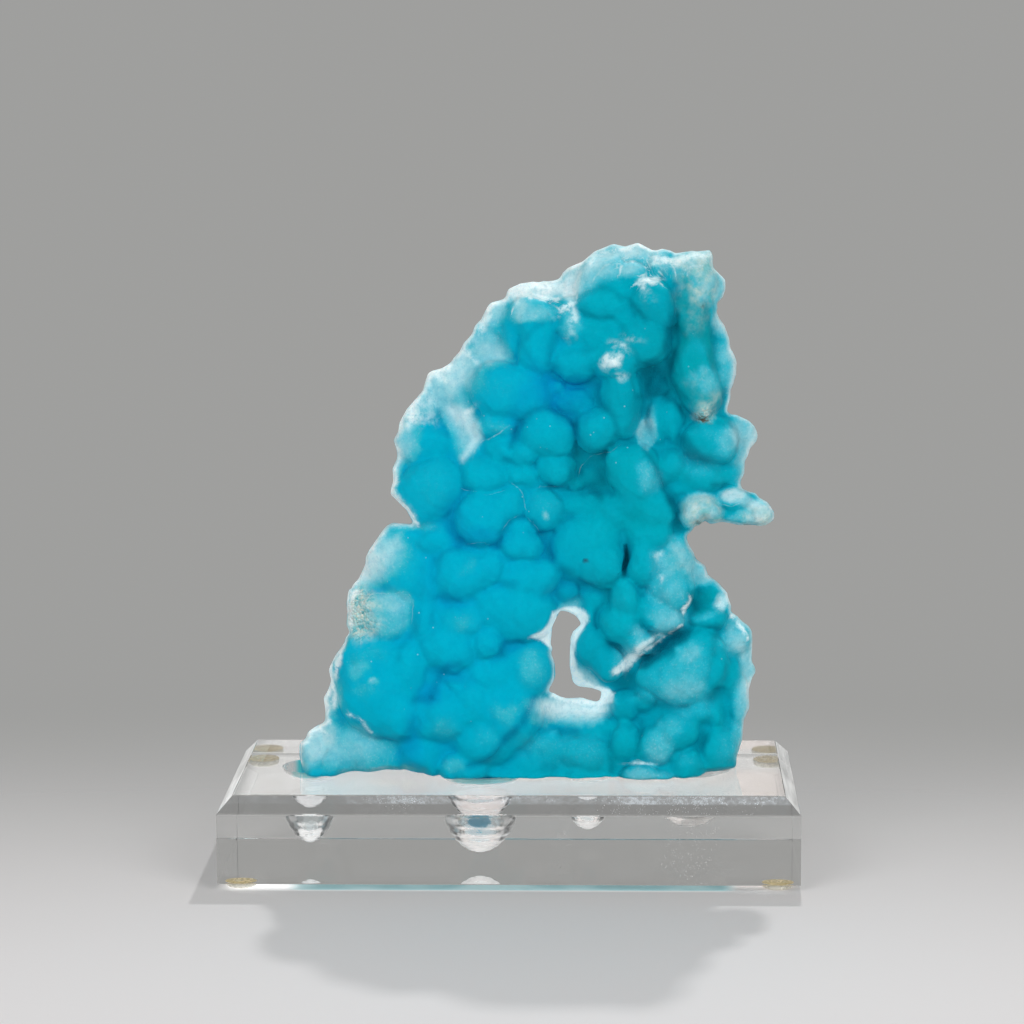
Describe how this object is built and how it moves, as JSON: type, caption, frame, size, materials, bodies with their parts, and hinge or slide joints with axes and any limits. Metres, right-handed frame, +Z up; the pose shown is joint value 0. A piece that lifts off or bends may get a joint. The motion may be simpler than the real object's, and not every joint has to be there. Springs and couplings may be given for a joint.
{
  "type": "hemimorphite specimen on a clear base",
  "caption": "Upright crust of rounded blue hemimorphite lumps with a small window through it, seated in pockets of a clear bevelled block on bumper feet.",
  "frame": {"origin": "centre of the base's footprint, on the plane that the bumper feet stand on", "axes": "+Z up; the front, with the fullest lumps, faces -Y; +X to the right seen from the front"},
  "size_m": [0.165, 0.0762, 0.1803],
  "materials": {
    "hemimorphite": "silky matte crystal druse on rounded lumps, deep cyan blue in the folds, pale and translucent at thin rims",
    "clear_block": "polished clear acrylic, frosted in the milled pockets",
    "bumper": "clear urethane, slightly yellowed"
  },
  "bodies": {
    "root": {"hemimorphite": "hemimorphite", "acrylic_base": "clear_block", "foot_front_left": "bumper", "foot_front_right": "bumper", "foot_back_left": "bumper", "foot_back_right": "bumper"}
  },
  "joints": []
}
